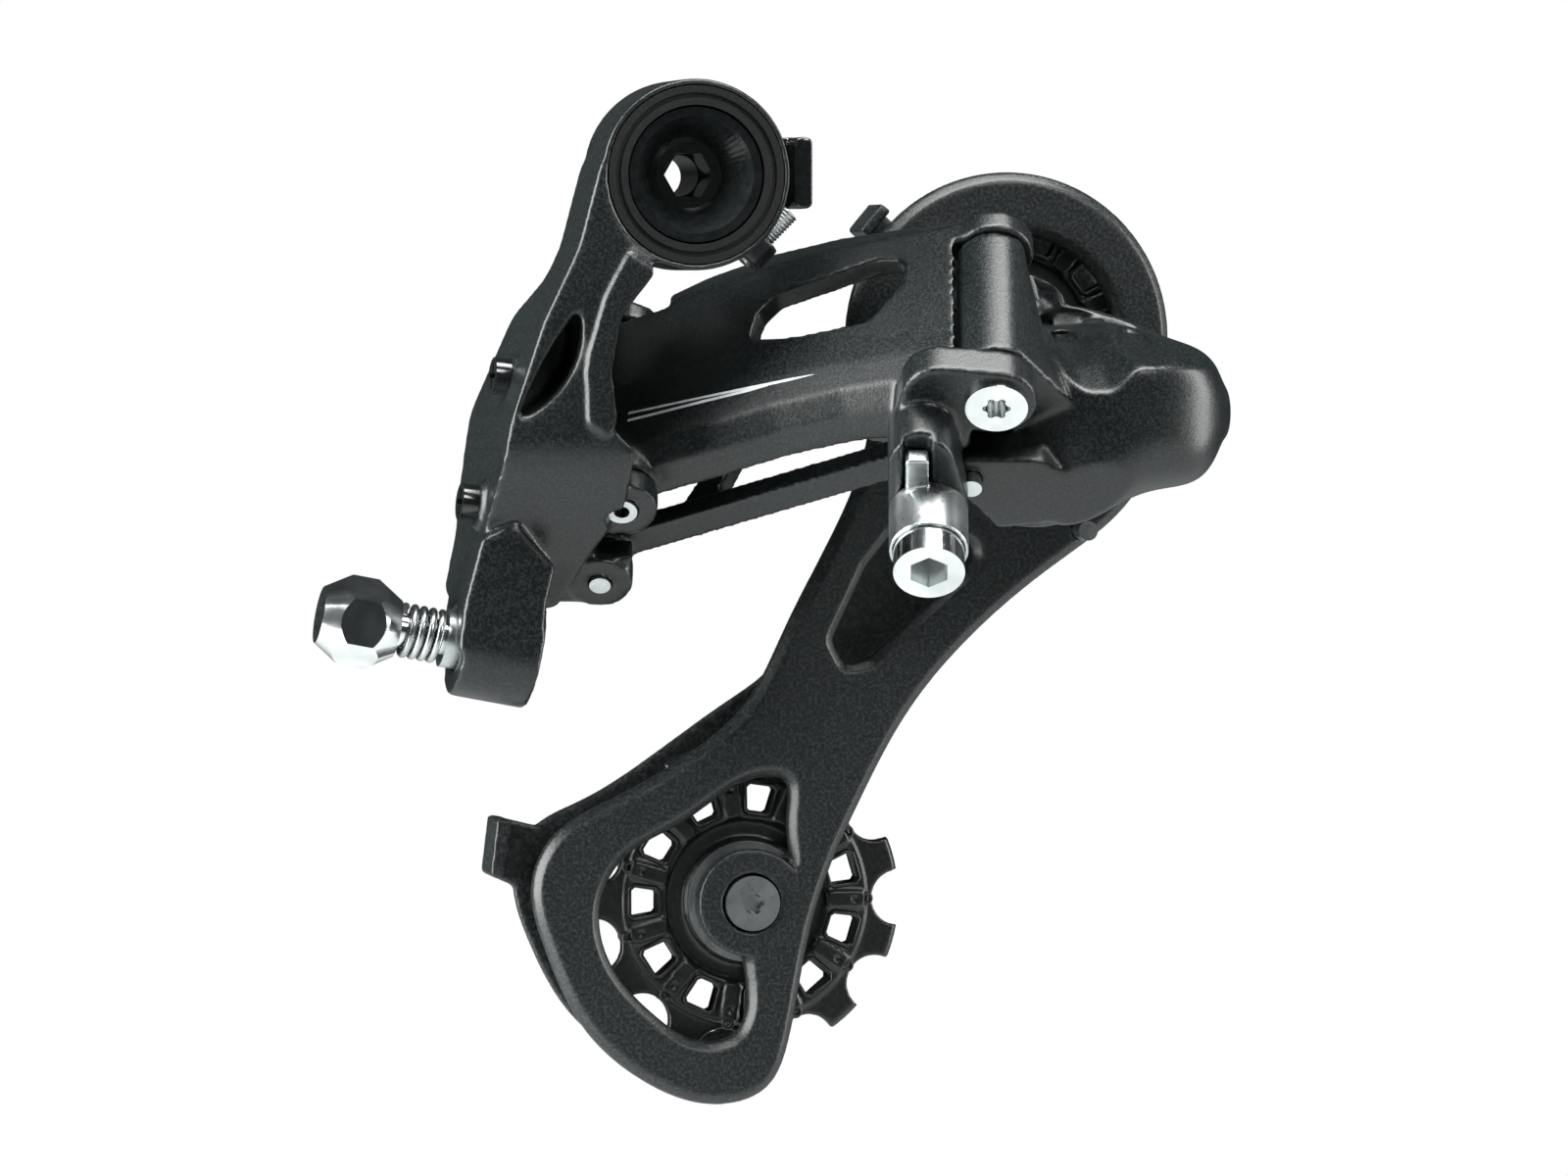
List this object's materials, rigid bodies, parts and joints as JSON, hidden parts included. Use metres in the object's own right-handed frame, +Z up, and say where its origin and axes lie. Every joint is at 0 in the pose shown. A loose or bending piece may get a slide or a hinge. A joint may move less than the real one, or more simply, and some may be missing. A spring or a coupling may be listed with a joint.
{
  "type": "rear bicycle derailleur",
  "caption": "Rear bicycle derailleur: hanger bolt, slanted parallelogram linkage, sprung chain cage with two toothed pulleys, cable clamp and barrel adjuster.",
  "frame": {"origin": "hanger bolt axis at the outer face of the frame's hanger", "axes": "+X forward on the bicycle, +Y inboard along the hanger bolt, +Z up"},
  "size_m": [0.1267, 0.0743, 0.1447],
  "materials": {
    "black_casting": "satin, fine speckle",
    "black_plate": "satin, fine speckle",
    "black_link": "satin black",
    "black_steel": "gloss black",
    "chrome": "polished",
    "bright_steel": "turned",
    "spring_steel": "drawn wire",
    "black_polymer": "moulded",
    "black_rubber": "matt",
    "bronze": "oiled"
  },
  "bodies": {
    "hanger_mount": {"hanger_bolt": "black_steel", "hanger_circlip": "black_steel", "b_pivot_bushing": "bronze", "stop_plate": "black_steel"},
    "upper": {"upper_body": "black_casting", "dust_seal": "black_rubber", "b_pivot_spring": "spring_steel", "adjuster_spring": "spring_steel", "adjuster_bush": "bright_steel", "upper_outer_pin": "bright_steel", "upper_inner_pin": "bright_steel", "return_spring": "spring_steel"},
    "angle_screw": {"b_angle_screw": "bright_steel"},
    "high_limit": {"limit_screw_high": "black_steel"},
    "low_limit": {"limit_screw_low": "black_steel"},
    "adjuster": {"barrel_adjuster": "chrome"},
    "outer": {"outer_link": "black_casting", "clamp_washer": "bright_steel", "lower_outer_pin": "chrome"},
    "clamp": {"clamp_bolt": "chrome"},
    "inner": {"inner_link": "black_link"},
    "lower": {"lower_body": "black_casting", "lower_inner_pin": "bright_steel", "cage_spring": "spring_steel"},
    "cage": {"cage_axle": "bright_steel", "cage_stop_pin": "bright_steel", "outer_cage_plate": "black_plate", "inner_cage_plate": "black_plate", "upper_pulley_bushing": "bronze", "lower_pulley_bushing": "bronze", "upper_pulley_bolt": "bright_steel", "lower_pulley_bolt": "bright_steel"},
    "guide_pulley": {"upper_pulley": "black_polymer", "upper_dust_caps": "bright_steel"},
    "tension_pulley": {"lower_pulley": "black_polymer", "lower_dust_caps": "bright_steel"}
  },
  "joints": [
    {"name": "b_pivot", "type": "hinge", "parent": "hanger_mount", "child": "upper", "pos_m": [0, 0, 0], "axis": [0, 1, 0], "range_deg": [0, 45], "stiffness_Nm_per_rad": 0.8, "springref_deg": -28.65},
    {"name": "shift", "type": "hinge", "parent": "upper", "child": "outer", "pos_m": [-0.0089, -0.009, -0.0465], "axis": [0.1578, 0.7117, 0.6845], "range_deg": [0, 58], "stiffness_Nm_per_rad": 1.2, "springref_deg": -34.38},
    {"name": "inner_link_pivot", "type": "hinge", "parent": "upper", "child": "inner", "pos_m": [-0.01014, 0.00081, -0.05641], "axis": [0.1578, 0.7117, 0.6845], "range_deg": [0, 58]},
    {"name": "lower_body_pivot", "type": "hinge", "parent": "outer", "child": "lower", "pos_m": [0.03847, -0.03398, -0.03145], "axis": [0.1578, 0.7117, 0.6845], "range_deg": [-58, 0]},
    {"name": "cage_pivot", "type": "hinge", "parent": "lower", "child": "cage", "pos_m": [0.0506, 0, -0.0349], "axis": [0, -1, 0], "range_deg": [0, 95], "stiffness_Nm_per_rad": 0.35, "springref_deg": -45.84},
    {"name": "guide_pulley_spin", "type": "hinge", "parent": "cage", "child": "guide_pulley", "pos_m": [0.0513, 0.013, -0.0228], "axis": [0, 1, 0], "continuous": true},
    {"name": "tension_pulley_spin", "type": "hinge", "parent": "cage", "child": "tension_pulley", "pos_m": [0.0128, 0.013, -0.1028], "axis": [0, 1, 0], "continuous": true},
    {"name": "adjuster_turn", "type": "hinge", "parent": "upper", "child": "adjuster", "pos_m": [-0.0505, -0.004, -0.0607], "axis": [0.9816, 0, -0.1908], "continuous": true},
    {"name": "high_limit_turn", "type": "hinge", "parent": "upper", "child": "high_limit", "pos_m": [-0.0244, -0.006, -0.028], "axis": [0.9917, 0.0496, -0.119], "continuous": true},
    {"name": "low_limit_turn", "type": "hinge", "parent": "upper", "child": "low_limit", "pos_m": [-0.029, -0.006, -0.0454], "axis": [0.9917, 0.0496, -0.119], "continuous": true},
    {"name": "angle_screw_turn", "type": "hinge", "parent": "upper", "child": "angle_screw", "pos_m": [0.0086, -0.0065, -0.0119], "axis": [0.7071, 0, 0.7071], "continuous": true},
    {"name": "clamp_bolt_turn", "type": "hinge", "parent": "outer", "child": "clamp", "pos_m": [0.03011, -0.02893, -0.04587], "axis": [0.1578, 0.7117, 0.6845], "continuous": true}
  ],
  "couplings": [
    {"joint": "inner_link_pivot", "follows": "shift", "ratio": 1},
    {"joint": "lower_body_pivot", "follows": "shift", "ratio": -1}
  ]
}
